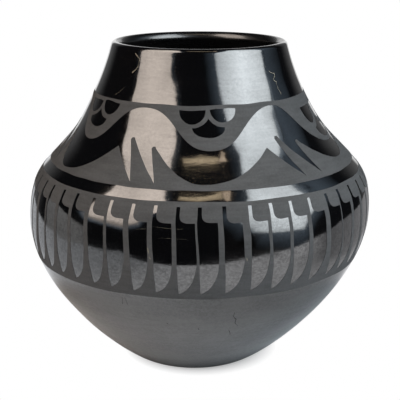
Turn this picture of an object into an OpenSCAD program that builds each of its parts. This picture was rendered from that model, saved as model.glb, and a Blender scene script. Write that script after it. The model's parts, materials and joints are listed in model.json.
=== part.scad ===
// Coil-built pottery jar: a moulded base, a stack of clay coils lapped on each other, a rim coil,
// a burnished coat of slip outside and inside the neck, and three painted bands of matte slip.
// The jar stands on z = 0 with its axis on Z. Its front is -Y.
// Wall places are arc lengths, measured along the outside of the wall from the edge of the foot.

/* [Foot] */
// Diameter of the flat foot
foot_d = 92; // [72:1:110]
// Angle above level at which the wall leaves the foot
foot_lift = 14; // [8:1:26]
// How far the wall keeps that direction before it rounds upwards
foot_round = 12.5; // [6:0.5:24]

/* [Belly] */
// Diameter of the belly, the widest place
belly_d = 250; // [215:1:300]
// Height of the belly above the table
belly_h = 108.6; // [96:0.2:122]
// Roundness of the wall under the belly
belly_round_under = 48.6; // [36:0.2:60]
// Roundness of the wall over the belly
belly_round_over = 32.4; // [22:0.2:40]

/* [Shoulder] */
// Diameter where the shoulder turns towards the neck
shoulder_d = 192; // [176:1:208]
// Height of that turn above the table
shoulder_h = 167.5; // [158:0.5:178]
// Lean of the shoulder in from upright, in degrees
shoulder_lean = 41.7; // [35:0.1:48]
// Roundness of the shoulder under its turn
shoulder_round_under = 33.9; // [24:0.1:40]
// Roundness of the shoulder over its turn
shoulder_round_over = 17.2; // [10:0.1:26]

/* [Neck] */
// Diameter of the neck just under the lip
neck_d = 126.3; // [110:0.5:142]
// Height of the neck just under the lip
neck_h = 232.8; // [222:0.2:250]
// Lean of the neck in from upright, in degrees
neck_lean = 15.7; // [6:0.1:22]
// Length over which the neck sweeps into that lean
neck_sweep = 29.4; // [18:0.2:38]
// Radius of the rounded lip
lip_r = 3; // [2.4:0.1:4]

/* [Clay] */
// Thickness of the wall at the foot
foot_t = 9; // [7:0.5:12]
// Thickness of the wall at the belly
belly_t = 7; // [5:0.5:10]
// Thickness of the wall at the shoulder
shoulder_t = 6.5; // [5:0.5:9]
// How far up the wall the moulded base reaches
base_reach = 62; // [50:1:80]
// Number of clay coils between the base and the rim coil
coil_count = 10; // [7:1:13]
// Height of the rim coil, up to the lip
rim_coil_h = 15; // [9:0.5:22]
// How far each coil laps down the inside of the one below
lap = 5; // [2:0.5:8]

/* [Slip] */
// Thickness of the burnished slip
slip_t = 0.4; // [0.2:0.1:0.8]
// How far the slip runs down inside the neck
slip_inside = 46; // [20:1:70]
// Thickness of the matte paint
paint_t = 0.2; // [0.1:0.05:0.4]

/* [Feather band] */
// Number of feathers round the jar
feather_count = 50; // [36:1:60]
// Distance from the belly down to the band's lower edge
band_under = 26.4; // [20:0.2:34]
// Distance from the belly up to the band's upper edge
band_over = 39.3; // [34:0.1:46]
// Matte gap between two feathers, just over the belly
feather_gap = 3.1; // [2:0.1:5]
// How far a feather's right side leans back towards its top
feather_lean = 2; // [0:0.1:3]
// Height of a feather's square top over the belly
feather_top = 25.6; // [20:0.1:28]
// Height of the curved end of a feather
feather_curve = 24; // [14:0.5:30]
// How far a feather's point lies in from its left side
feather_tip_in = 4.4; // [1:0.1:6]
// Matte margin under a feather's point
tip_margin = 4.2; // [3:0.1:8]
// Width of the quill over a feather
quill_w = 2.6; // [1.4:0.1:3.4]
// Matte margin over a quill
quill_margin = 3; // [1.4:0.1:4.4]
// Size of the rounded step from a feather to its quill
step_r = 5; // [3:0.1:6.5]

/* [Mountain band] */
// Number of repeats of the mountains and clouds
repeats = 6; // [5:1:7]
// Distance from the shoulder's turn down to the band's lower edge
ground_under = 21.1; // [16:0.1:24]
// Height of the valleys between mountains over the band's lower edge
valley_h = 4.4; // [2.5:0.1:7]
// Height of the mountain over the band's lower edge
peak_h = 28.6; // [22:0.1:32]
// Height of the long tuft over the band's lower edge
long_tuft_h = 36; // [31:0.1:38]
// Height of the short tuft over the band's lower edge
short_tuft_h = 31; // [24:0.1:33]
// Height of the cuts beside the tufts over the band's lower edge
cut_h = 4; // [2:0.1:8]
// Half the width of a tuft's blunt end
tuft_end = 1.6; // [0.6:0.1:2.2]
// Height of that end
tuft_end_h = 1.6; // [0.6:0.1:2.5]

/* [Cloud band] */
// Distance from the shoulder's turn up to the line's lower edge
line_over = 36; // [32:0.1:40]
// Width of the line at the top of the band
line_w = 2.8; // [1.6:0.1:4]
// Depth of a cloud under the line
cloud_h = 28.5; // [24:0.1:32]
// Width of the two round windows under the line
window_w = 17; // [13:0.1:19]
// Depth of the two round windows
window_h = 9.4; // [7:0.1:10.5]
// Width of the strips between the windows
window_strip = 2.8; // [1.6:0.1:3.6]
// Width of the third window, under the two
low_window_w = 20; // [14:0.1:22]
// Depth of the third window under its corners
low_window_h = 7.1; // [4:0.1:8]

/* [Hand spacing] */
// How many degrees the mountains spread towards the front
spread = 1.6; // [0:0.1:3]
// How many degrees every other mountain lies off its place
sway = 1.8; // [0:0.1:3]
// How many degrees the front valley lies off the front
first_valley = 0.9; // [-4:0.1:4]
// How many degrees the clouds spread towards the front
cloud_spread = 4; // [0:0.1:5]
// How many degrees the clouds crowd round to the right behind the jar
cloud_crowd = 4; // [0:0.1:5]

/* [Hidden] */
$fn = 96;

// Longest straight facet of the wall's outline
facet = 8;
// Facets of the half circle over the lip
lip_facets = 12;
// Steps of one drawn curve of the paint
curve_steps = 6;
// Height that is cut off flat under a cloud's rounded foot
foot_flat = 0.1;

foot_r = foot_d / 2;
belly_r = belly_d / 2;
shoulder_r = shoulder_d / 2;
neck_r = neck_d / 2;

// Direction at an angle above level, in the (radius, height) plane
function dir(a) = [cos(a), sin(a)];
// The same turned a quarter, which points out of a wall that runs upwards
function outward(v) = [v[1], -v[0]];

// Point of a cubic curve, and its direction
function bez(p, t) = pow(1 - t, 3) * p[0] + 3 * pow(1 - t, 2) * t * p[1]
    + 3 * (1 - t) * t * t * p[2] + t * t * t * p[3];
function bez_dir(p, t) = let (v = pow(1 - t, 2) * (p[1] - p[0]) + 2 * (1 - t) * t * (p[2] - p[1])
    + t * t * (p[3] - p[2])) v / norm(v);
function bez_points(p, n) = [for (i = [0:n]) bez(p, i / n)];

// The wall's outline: foot to belly, belly to shoulder, shoulder to neck
foot_p = [foot_r, 0];
belly_p = [belly_r, belly_h];
shoulder_p = [shoulder_r, shoulder_h];
neck_p = [neck_r, neck_h];
shoulder_dir = dir(90 + shoulder_lean);
neck_dir = dir(90 + neck_lean);
spans = [
    [foot_p, foot_p + foot_round * dir(foot_lift), belly_p - [0, belly_round_under], belly_p],
    [belly_p, belly_p + [0, belly_round_over], shoulder_p - shoulder_round_under * shoulder_dir, shoulder_p],
    [shoulder_p, shoulder_p + shoulder_round_over * shoulder_dir, neck_p - neck_sweep * neck_dir, neck_p]
];
span_steps = [for (p = spans) ceil(1.15 * norm(p[3] - p[0]) / facet)];
stations = concat([[0, 0]], [for (k = [0:2]) for (i = [1:span_steps[k]]) [k, i / span_steps[k]]]);
wall_points = [for (q = stations) bez(spans[q[0]], q[1])];
wall_normals = [for (q = stations) outward(bez_dir(spans[q[0]], q[1]))];
last = len(stations) - 1;

// Arc length of each station
function running(n) = n == 0 ? [0]
    : let (before = running(n - 1)) concat(before, [before[n - 1] + norm(wall_points[n] - wall_points[n - 1])]);
arc = running(last);
arc_belly = arc[span_steps[0]];
arc_shoulder = arc[span_steps[0] + span_steps[1]];
arc_neck = arc[last];

// Wall thickness by arc length
thickness = [[0, foot_t], [arc_belly, belly_t], [arc_shoulder, shoulder_t], [arc_neck, 2 * lip_r]];
wall_inward = [for (i = [0:last]) -lookup(arc[i], thickness) * wall_normals[i]];

// Value of a list of vectors, one for each station, at arc length s
function along(list, s) = [for (c = [0, 1]) lookup(s, [for (i = [0:last]) [arc[i], list[i][c]]])];
// Point of the wall's outside or inside at arc length s, moved outwards by h
function outside(s, h = 0) = along(wall_points, s) + h * along(wall_normals, s);
function inside(s, h = 0) = along(wall_points, s) + along(wall_inward, s) + h * along(wall_normals, s);
// Arc lengths from a to b with every station between them
function reach(a, b) = concat([a], [for (s = arc) if (s > a + 0.01 && s < b - 0.01) s], [b]);
function outside_run(a, b, h = 0) = [for (s = reach(a, b)) outside(s, h)];
function inside_run(a, b, h = 0) = [for (s = reach(a, b)) inside(s, h)];
function backwards(list) = [for (i = [len(list) - 1:-1:0]) list[i]];

// Point of the lip's half circle, whose angle runs from the outside, over the top, to the inside
lip_centre = neck_p - lip_r * outward(neck_dir);
function lip(a, h = 0) = lip_centre + (lip_r + h) * (cos(a) * outward(neck_dir) + sin(a) * neck_dir);

// Joints between the base, the coils and the rim coil
arc_rim = arc_neck - rim_coil_h;
coil_h = (arc_rim - base_reach) / coil_count;
// Lower edge of coil k on the outside. Coil coil_count + 1 is the rim coil.
function joint(k) = base_reach + (k - 1) * coil_h;
// Lower edge of the same joint on the inside of the wall
function joint_inside(k) = joint(k) - lap;
// Where the slip ends inside the neck
arc_slip_end = arc_neck - slip_inside;

clay_colour = "#5a4a42";
slip_colour = "#141414";
paint_colour = "#565453";

// Inside face of the clay from arc length a to b, set back under the slip where the neck has it
function clay_inside(a, b) =
    b <= arc_slip_end ? inside_run(a, b)
    : a >= arc_slip_end ? inside_run(a, b, slip_t)
    : concat(inside_run(a, arc_slip_end), inside_run(arc_slip_end, b, slip_t));

module base_bowl() {
    rim = joint(1);
    color(clay_colour) rotate_extrude() polygon(concat(
        [[0, 0], foot_p],
        outside_run(0, rim, -slip_t),
        backwards(clay_inside(0, joint_inside(1))),
        [[0, inside(0)[1]]]
    ));
}

module coil(k) {
    color(clay_colour) rotate_extrude() polygon(concat(
        outside_run(joint(k), joint(k + 1), -slip_t),
        backwards(clay_inside(joint_inside(k), joint_inside(k + 1)))
    ));
}

module rim_coil() {
    color(clay_colour) rotate_extrude() polygon(concat(
        outside_run(arc_rim, arc_neck, -slip_t),
        [for (i = [1:lip_facets - 1]) lip(180 * i / lip_facets, -slip_t)],
        backwards(clay_inside(joint_inside(coil_count + 1), arc_neck))
    ));
}

module slip_outside() {
    color(slip_colour) rotate_extrude() polygon(concat(
        outside_run(0, arc_neck),
        [for (i = [1:lip_facets / 2]) lip(180 * i / lip_facets)],
        [for (i = [lip_facets / 2:-1:1]) lip(180 * i / lip_facets, -slip_t)],
        backwards(outside_run(0, arc_neck, -slip_t))
    ));
}

module slip_inside_neck() {
    color(slip_colour) rotate_extrude() polygon(concat(
        [for (i = [lip_facets / 2:lip_facets - 1]) lip(180 * i / lip_facets, -slip_t)],
        backwards(inside_run(arc_slip_end, arc_neck, slip_t)),
        inside_run(arc_slip_end, arc_neck),
        [for (i = [lip_facets - 1:-1:lip_facets / 2]) lip(180 * i / lip_facets)]
    ));
}

// Layer of paint all round the jar, from arc length a to b
module paint_ring(a, b) {
    rotate_extrude() polygon(concat(outside_run(a, b, paint_t), backwards(outside_run(a, b))));
}

// Straight-sided block whose outline passes through places on the wall, each [degrees from the
// front, arc length]. Its sides stand square to the wall at the middle place.
module block(places, middle) {
    mid = outside(middle[1]);
    n = along(wall_normals, middle[1]);
    lift = atan2(n[1], n[0]);
    depth = mid[0] / 3;
    rotate([0, 0, middle[0]])
        rotate([90 - lift, 0, 0])
            translate([0, 0, mid * n - depth])
                linear_extrude(2 * depth)
                    polygon([for (p = places)
                        let (q = outside(p[1]), turn = p[0] - middle[0])
                        [q[0] * sin(turn), q[1] * cos(lift) - q[0] * cos(turn) * sin(lift)]]);
}

// Degrees round the jar of a length at the belly
function belly_degrees(x) = x / belly_r * 180 / PI;

arc_band_low = arc_belly - band_under;
arc_band_high = arc_belly + band_over;
feather_pitch = 2 * PI * belly_r / feather_count;
feather_tip = [feather_tip_in, tip_margin - band_under];
// Height over the belly at which a feather is widest, and how far its left side leans in there
feather_low = feather_tip[1] + feather_curve;
feather_in = feather_tip_in * (feather_top - feather_low) / (feather_top - feather_tip[1]);
feather_w = feather_pitch + feather_in - feather_gap;

// Outline of one polished feather with its quill, in lengths from the quill's left side and the belly
function feather_outline() =
    let (top_right = [feather_w - feather_lean, feather_top],
         low_right = [feather_w, feather_low],
         quill_top = band_over - quill_margin)
    concat(
        bez_points([feather_tip, feather_tip + [0.33, 0.13] * feather_curve,
            low_right - [0, 0.5 * feather_curve], low_right], curve_steps),
        [top_right],
        bez_points([[quill_w + step_r, feather_top], [quill_w + step_r / 3, feather_top + step_r / 12],
            [quill_w, feather_top + step_r / 3], [quill_w, feather_top + step_r]], curve_steps),
        [[quill_w, quill_top], [0, quill_top], [0, feather_top]]
    );

module feather_band() {
    color(paint_colour) difference() {
        paint_ring(arc_band_low, arc_band_high);
        for (k = [0:feather_count - 1]) {
            start = 360 * k / feather_count - belly_degrees(quill_w / 2);
            block([for (p = feather_outline()) [start + belly_degrees(p[0]), arc_belly + p[1]]],
                [start + belly_degrees(feather_w / 2), arc_belly + feather_top / 4]);
        }
    }
}

repeat = 360 / repeats;
arc_ground = arc_shoulder - ground_under;
arc_line = arc_shoulder + line_over;

// Places in a repeat, as shares of the way from one valley to the next
peak_at = 0.422;
long_tuft_at = 0.526;
first_cut_at = 0.607;
short_tuft_at = 0.699;
second_cut_at = 0.749;
cloud_at = 0.05;

// Degrees from the front of a place in the row of mountains, such as 2.5 for halfway past the second
function round_jar(place) = let (a = first_valley + repeat * place) a + spread * sin(a);
// Degrees from the front of the middle of cloud k
function cloud_middle(k) =
    let (a = first_valley + repeat * (k + cloud_at)) a + cloud_spread * sin(a) + cloud_crowd * (1 - cos(a));
// Degrees round the jar of a length at arc length s
function degrees(x, s) = x / outside(s)[0] * 180 / PI;

// Places at one arc length s, from one angle to another
function level(from, to, s) = [for (i = [0:4]) [from + (to - from) * i / 4, s]];

// Upper outline of the mountain band, from the long tuft of repeat k to the next one
function mountain_outline(k) =
    let (place = function (share, h, sway_by) [round_jar(share) + sway_by, arc_ground + h],
         shift = k % 2 == 0 ? sway : -sway,
         w = degrees(tuft_end, arc_ground + long_tuft_h),
         long_tuft = place(k + long_tuft_at, long_tuft_h, shift),
         second_cut = place(k + second_cut_at, cut_h, shift),
         short_tuft = place(k + short_tuft_at, short_tuft_h, shift),
         valley = place(k + 1, valley_h, 0),
         peak = place(k + 1 + peak_at, peak_h, -shift),
         first_cut = place(k + 1 + first_cut_at, cut_h, -shift),
         next_tuft = place(k + 1 + long_tuft_at, long_tuft_h, -shift),
         slope = short_tuft + [w, -tuft_end_h],
         fall = valley - slope,
         rise = peak - valley)
    concat(
        [long_tuft + [w / 2, 0], long_tuft + [w, -tuft_end_h], second_cut],
        [short_tuft - [w, tuft_end_h], short_tuft - [w / 2, 0], short_tuft + [w / 2, 0]],
        bez_points([slope, slope + [0.31 * fall[0], 0.47 * fall[1]], valley - [0.42 * fall[0], 0], valley],
            curve_steps),
        [for (i = [1:curve_steps])
            bez([valley, valley + [0.45 * rise[0], 0], peak - [0.32 * rise[0], 0.46 * rise[1]], peak],
                i / curve_steps)],
        [first_cut, next_tuft - [w, tuft_end_h], next_tuft - [w / 2, 0]]
    );

module mountain_band() {
    top = arc_ground + long_tuft_h;
    color(paint_colour) difference() {
        paint_ring(arc_ground, top);
        for (k = [0:repeats - 1]) {
            outline = mountain_outline(k);
            from = outline[0][0];
            to = outline[len(outline) - 1][0];
            block(concat(outline, level(to, from, top + 2)), [(from + to) / 2, arc_ground + peak_h / 2]);
        }
    }
}

// Half an ellipse that hangs from its centre, w wide on each side and h deep
function bowl(centre, w, h) =
    [for (i = [0:2 * curve_steps]) let (a = 90 * i / curve_steps) centre - [w * cos(a), h * sin(a)]];

// Outline of the bare arch between two clouds, from the foot of one to the foot of the other
function arch_outline(from, to) =
    let (low = arc_line - cloud_h, crown = [(from + to) / 2, arc_line], half = (to - from) / 2)
    concat(
        bez_points([[from, low], [from + 0.42 * half, low], crown - [0.55 * half, 0], crown], curve_steps),
        [for (i = [1:curve_steps])
            bez([crown, crown + [0.55 * half, 0], [to - 0.42 * half, low], [to, low]], i / curve_steps)]
    );

// The two round windows of a cloud
function round_window(centre, side) =
    let (w = degrees(window_w / 2, arc_line), strip = degrees(window_strip / 2, arc_line))
    bowl([centre + side * (w + strip), arc_line], w, window_h);

// The third window: its upper sides run along the two round ones, one strip away
function low_window(centre) =
    let (w = degrees(window_w / 2, arc_line),
         strip = degrees(window_strip, arc_line),
         low_w = degrees(low_window_w / 2, arc_line),
         off = w + strip / 2,
         sweep = function (x) (window_h + window_strip) * sqrt(1 - pow((off - abs(x)) / (w + strip), 2)),
         corner = sweep(low_w))
    concat(
        [for (i = [-curve_steps:curve_steps]) let (x = -low_w * i / curve_steps)
            [centre + x, arc_line - sweep(x)]],
        [for (i = [1:2 * curve_steps - 1]) let (a = 90 * i / curve_steps)
            [centre - low_w * cos(a), arc_line - corner - low_window_h * sin(a)]]
    );

module cloud_band() {
    // Level at which the rounded foot of a cloud is cut off flat
    low = arc_line - cloud_h + foot_flat;
    color(paint_colour) difference() {
        paint_ring(low, arc_line + line_w);
        for (k = [0:repeats - 1]) {
            centre = cloud_middle(k);
            next = cloud_middle(k + 1);
            middle = [centre, arc_line - cloud_h / 2];
            block(concat(arch_outline(centre, next), level(next, centre, low - 2)),
                [(centre + next) / 2, middle[1]]);
            block(round_window(centre, -1), middle);
            block(round_window(centre, 1), middle);
            block(low_window(centre), middle);
        }
    }
}

base_bowl();
for (k = [1:coil_count]) coil(k);
rim_coil();
slip_outside();
slip_inside_neck();
feather_band();
mountain_band();
cloud_band();
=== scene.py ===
"""Looks of a coil-built black jar: burnished slip, matte painted bands, scraped clay and a plain stage."""

import json
import math

import bpy
import numpy as np
from bpy.props import FloatProperty, FloatVectorProperty, IntProperty, PointerProperty
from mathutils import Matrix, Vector
from mathutils.geometry import delaunay_2d_cdt

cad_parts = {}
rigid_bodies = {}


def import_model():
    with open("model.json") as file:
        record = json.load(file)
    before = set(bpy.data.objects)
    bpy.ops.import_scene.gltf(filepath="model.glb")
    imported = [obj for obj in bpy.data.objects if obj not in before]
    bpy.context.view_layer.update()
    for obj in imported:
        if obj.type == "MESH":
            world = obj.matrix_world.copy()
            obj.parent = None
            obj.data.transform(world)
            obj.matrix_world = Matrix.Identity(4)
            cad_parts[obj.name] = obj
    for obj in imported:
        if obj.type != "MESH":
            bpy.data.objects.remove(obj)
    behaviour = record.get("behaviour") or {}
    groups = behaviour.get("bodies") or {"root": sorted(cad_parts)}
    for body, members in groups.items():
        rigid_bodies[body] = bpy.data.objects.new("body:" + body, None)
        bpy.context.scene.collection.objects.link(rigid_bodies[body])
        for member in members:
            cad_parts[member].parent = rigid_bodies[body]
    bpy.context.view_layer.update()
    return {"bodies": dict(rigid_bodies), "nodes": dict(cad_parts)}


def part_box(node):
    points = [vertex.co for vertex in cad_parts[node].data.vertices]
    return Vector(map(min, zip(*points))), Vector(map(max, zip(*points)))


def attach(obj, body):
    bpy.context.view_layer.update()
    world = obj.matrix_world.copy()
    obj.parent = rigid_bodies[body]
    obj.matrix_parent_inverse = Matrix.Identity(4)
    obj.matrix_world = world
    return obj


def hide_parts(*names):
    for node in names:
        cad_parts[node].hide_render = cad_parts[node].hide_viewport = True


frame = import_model()

bl_info = {
    "name": "Coil-Built Jar",
    "version": (1, 0, 0),
    "blender": (4, 5, 0),
    "location": "View3D > Sidebar > Jar",
    "description": "Builds a burnished black jar with matte painted bands around its packed solids",
    "category": "Add Mesh",
}

BODY = next(iter(frame["bodies"]))
MM = 0.001
# Degrees from the front to the back
BACK = 180.0
# The jar's usual radius, and the length of one degree round it, for the sizes of a pattern's triangles
MEAN_RADIUS = 0.1
MEAN_DEGREE = math.radians(1) * MEAN_RADIUS
# Spacing of the points that carry a painted layer over the wall's curve
PAINT_CELL = 3 * MM
# Spacing of the points along a painted edge
EDGE_STEP = 1.2 * MM
# How far a painted layer reaches down, as a share of the slip's thickness, and how far it stands up, as
# a share of the paint's
PAINT_SINK, PAINT_RISE = 0.25, 0.7
# How far a whole band wavers up and down
BAND_WAVER = 0.2 * MM

# Smooth waves that hands leave: seed, how many are summed, waves round the jar, wave length up it in mm,
# and steepness of each, which is 1 where the sum is scaled afterwards
RIPPLES = {
    "broad hollows": (11, 14, (3, 13), (28, 85), 0.0026),
    "fine hollows": (12, 10, (14, 34), (12, 30), 0.0012),
    "brush sideways": (21, 16, (15, 60), (15, 60), 1.0),
    "brush upright": (22, 16, (15, 60), (15, 60), 1.0),
    "band waver": (31, 14, (4, 22), (80, 200), 1.0),
    "scraping": (41, 16, (5, 40), (14, 60), 0.012),
}


def width_of(node):
    """Width of a solid along X, in metres."""
    low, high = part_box(node)
    return high[0] - low[0]


def length(name, text, default):
    """A length in metres."""
    return FloatProperty(name=name, description=text, default=default, unit="LENGTH", precision=4)


def angle(name, text, degrees):
    """An angle, whose default is given in degrees."""
    return FloatProperty(name=name, description=text, default=math.radians(degrees), unit="ROTATION")


def factor(name, text, default):
    """A number from 0 to 1."""
    return FloatProperty(name=name, description=text, default=default, min=0.0, max=1.0, subtype="FACTOR")


def number(name, text, default):
    """A plain number."""
    return FloatProperty(name=name, description=text, default=default)


def whole(name, text, default, low, high):
    """A whole number in a range."""
    return IntProperty(name=name, description=text, default=default, min=low, max=high)


def colour(name, text, default):
    """A linear colour."""
    return FloatVectorProperty(name=name, description=text, default=default, size=3, subtype="COLOR", min=0.0)


class JarShape(bpy.types.PropertyGroup):
    """Sizes of the jar's body"""

    foot_d: length("Foot", "Diameter of the flat foot", 92 * MM)
    foot_lift: angle("Foot lift", "Angle above level at which the wall leaves the foot", 14)
    foot_round: length("Foot rounding", "How far the wall keeps that direction", 12.5 * MM)
    belly_d: length("Belly", "Diameter at the widest place", width_of("slip_outside"))
    belly_h: length("Belly height", "Height of the widest place", 108.6 * MM)
    belly_round_under: length("Under the belly", "Roundness of the wall under the belly", 48.6 * MM)
    belly_round_over: length("Over the belly", "Roundness of the wall over the belly", 32.4 * MM)
    shoulder_d: length("Shoulder", "Diameter where the shoulder turns", 192 * MM)
    shoulder_h: length("Shoulder height", "Height of that turn", 167.5 * MM)
    shoulder_lean: angle("Shoulder lean", "Lean of the shoulder in from upright", 41.7)
    shoulder_round_under: length("Under the shoulder", "Roundness under the turn", 33.9 * MM)
    shoulder_round_over: length("Over the shoulder", "Roundness over the turn", 17.2 * MM)
    neck_d: length("Neck", "Diameter of the neck just under the lip", 126.3 * MM)
    neck_h: length("Neck height", "Height of the neck just under the lip", 232.8 * MM)
    neck_lean: angle("Neck lean", "Lean of the neck in from upright", 15.7)
    neck_sweep: length("Neck sweep", "Length over which the neck sweeps into that lean", 29.4 * MM)
    lip_r: length("Lip", "Radius of the lip's outer half", 3 * MM)
    lip_soft_r: length("Lip inside", "Radius of the lip's softer inner half", 4.6 * MM)
    lip_fade: length("Lip fade", "How far down inside the lip's extra thickness fades out", 24 * MM)
    foot_t: length("Foot thickness", "Thickness of the wall at the foot", 9 * MM)
    belly_t: length("Belly thickness", "Thickness of the wall at the belly", 7 * MM)
    shoulder_t: length("Shoulder thickness", "Thickness of the wall at the shoulder", 6.5 * MM)
    base_reach: length("Base reach", "How far up the wall the moulded base reaches", 62 * MM)
    rim_coil_h: length("Rim coil", "Height of the rim coil, up to the lip", 15 * MM)
    lap: length("Lap", "How far each coil laps down the inside of the one below", 5 * MM)
    slip_t: length("Slip", "Thickness of the burnished slip", 0.4 * MM)
    slip_inside: length("Slip inside", "How far the slip runs down inside the neck", 46 * MM)
    paint_t: length("Paint", "Thickness of the matte paint", 0.2 * MM)


class JarPaint(bpy.types.PropertyGroup):
    """Sizes of the painted bands"""

    feather_count: whole("Feathers", "Feathers round the jar", 50, 36, 60)
    band_under: length("Band under", "From the belly down to the feather band's lower edge", 26.4 * MM)
    band_over: length("Band over", "From the belly up to the feather band's upper edge", 39.3 * MM)
    feather_gap: length("Feather gap", "Matte gap between two feathers", 3.1 * MM)
    feather_lean: length("Feather lean", "How far a feather's right side leans back", 2 * MM)
    feather_top: length("Feather top", "Height of a feather's square top over the belly", 25.6 * MM)
    feather_curve: length("Feather curve", "Height of the curved end of a feather", 24 * MM)
    feather_tip_in: length("Feather point", "How far the point lies in from the left side", 4.4 * MM)
    tip_margin: length("Point margin", "Matte margin under a feather's point", 4.2 * MM)
    quill_w: length("Quill", "Width of the quill over a feather", 2.6 * MM)
    quill_margin: length("Quill margin", "Matte margin over a quill", 3.0 * MM)
    step_r: length("Step", "Size of the rounded step from feather to quill", 5.0 * MM)
    repeats: whole("Repeats", "Repeats of mountains and clouds", 6, 5, 7)
    ground_under: length("Ground under", "From the shoulder's turn down to the mountains' ground", 21.1 * MM)
    valley_h: length("Valley", "Height of the valleys over the ground's edge", 4.4 * MM)
    peak_h: length("Peak", "Height of the mountain over the ground's edge", 28.6 * MM)
    long_tuft_h: length("Long tuft", "Height of the long tuft over the ground's edge", 36 * MM)
    short_tuft_h: length("Short tuft", "Height of the short tuft over the ground's edge", 31 * MM)
    cut_h: length("Cuts", "Height of the cuts beside the tufts", 4 * MM)
    tuft_end: length("Tuft end", "Half the width of a tuft's blunt end", 1.6 * MM)
    tuft_end_h: length("Tuft end height", "Height of a tuft's blunt end", 1.6 * MM)
    line_over: length("Line over", "From the shoulder's turn up to the line's lower edge", 36 * MM)
    line_w: length("Line", "Width of the line over the clouds", 2.8 * MM)
    cloud_h: length("Cloud", "Depth of a cloud under the line", 28.5 * MM)
    window_w: length("Window", "Width of a cloud's two round windows", 17 * MM)
    window_h: length("Window depth", "Depth of a cloud's two round windows", 9.4 * MM)
    window_strip: length("Window strip", "Width of the strips between windows", 2.8 * MM)
    low_window_w: length("Low window", "Width of a cloud's third window", 20 * MM)
    low_window_h: length("Low window depth", "Depth of the third window under its corners", 7.1 * MM)
    spread: number("Spread", "Degrees the mountains spread to the front", 1.6)
    sway: number("Sway", "Degrees that mountains lie off their places, to one side and the other", 1.8)
    first_valley: number("First valley", "Degrees from the front to the valley nearest it", 0.9)
    cloud_spread: number("Cloud spread", "Degrees the clouds spread to the front", 4.0)
    cloud_crowd: number("Cloud crowding", "Degrees the clouds crowd round to the right behind", 4.0)
    wobble: length("Brush wobble", "How far the brush strays from a true line", 0.08 * MM)


class JarFinish(bpy.types.PropertyGroup):
    """Colours and gloss"""

    slip_black: colour("Slip", "Burnished black", (0.0020, 0.0020, 0.0023))
    slip_cloud: colour("Fire cloud", "Where the smoke took less", (0.0048, 0.0038, 0.0032))
    slip_rough: factor("Slip roughness", "Roughness of the burnished slip", 0.07)
    paint_grey: colour("Paint", "Matte paint", (0.107, 0.109, 0.112))
    paint_dark: colour("Paint, thick", "Matte paint where the brush left more", (0.073, 0.074, 0.0755))
    paint_rough: factor("Paint roughness", "Roughness of the matte paint", 0.82)
    clay_smoked: colour("Clay", "Smoke-blackened clay inside", (0.021, 0.019, 0.018))
    clay_worn: colour("Worn clay", "Clay on edges and on the foot", (0.055, 0.050, 0.046))
    # Pale clay of the scratches and chips; this colour also paints fine hairline highlights on the belly
    scratch_and_highlight_tone: colour("Scratches", "Clay that shows in a scratch", (0.42, 0.38, 0.29))
    crack_tone: colour("Cracks", "Smoke that fills a fine crack", (0.026, 0.025, 0.024))


class JarStage(bpy.types.PropertyGroup):
    """Camera, lamps and floor"""

    camera_back: length("Camera distance", "Level distance from the jar's axis to the camera", 690.2 * MM)
    camera_h: length("Camera height", "Height of the camera", 307.5 * MM)
    camera_down: angle("Camera tilt", "How far the camera looks down", 15.55)
    lens: number("Lens", "Focal length in mm on a 36 mm frame", 85.84)
    light_level: number("Light", "Brightness of all lamps together", 1.0)
    floor_tone: colour("Floor", "Pale floor", (0.74, 0.76, 0.79))
    sheet_tone: colour("Backdrop", "White sheet behind the jar", (0.90, 0.90, 0.90))
    room_tone: colour("Room", "Dim room around the table", (0.008, 0.0085, 0.010))


SETTINGS = (
    ("jar_shape", JarShape),
    ("jar_paint", JarPaint),
    ("jar_finish", JarFinish),
    ("jar_stage", JarStage),
)


def cubic(p0, p1, p2, p3, n):
    """n + 1 points along a cubic curve."""
    t = np.linspace(0.0, 1.0, n + 1)[:, None]
    p0, p1, p2, p3 = (np.asarray(p, float) for p in (p0, p1, p2, p3))
    return (1 - t) ** 3 * p0 + 3 * (1 - t) ** 2 * t * p1 + 3 * (1 - t) * t**2 * p2 + t**3 * p3


def ripples(angles, along, kind):
    """One of the sums of smooth waves round and up the jar, in metres."""
    seed, count, turns, (short, long), slope = RIPPLES[kind]
    rng = np.random.default_rng(seed)
    total = np.zeros(np.broadcast(angles, along).shape)
    for _ in range(count):
        waves = int(rng.integers(turns[0], turns[1] + 1)) * rng.choice((-1, 1))
        up = 2 * math.pi / rng.uniform(short * MM, long * MM)
        steep = math.hypot(waves / MEAN_RADIUS, up)
        phase = rng.uniform(0, 2 * math.pi)
        total += slope / steep * np.cos(waves * np.radians(angles) + up * along + phase)
    return total


def ripples_of_size(angles, along, kind, size):
    """The same sum, scaled so that it is about size metres high."""
    off = ripples(angles, along, kind)
    return off * size / off.std()


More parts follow.
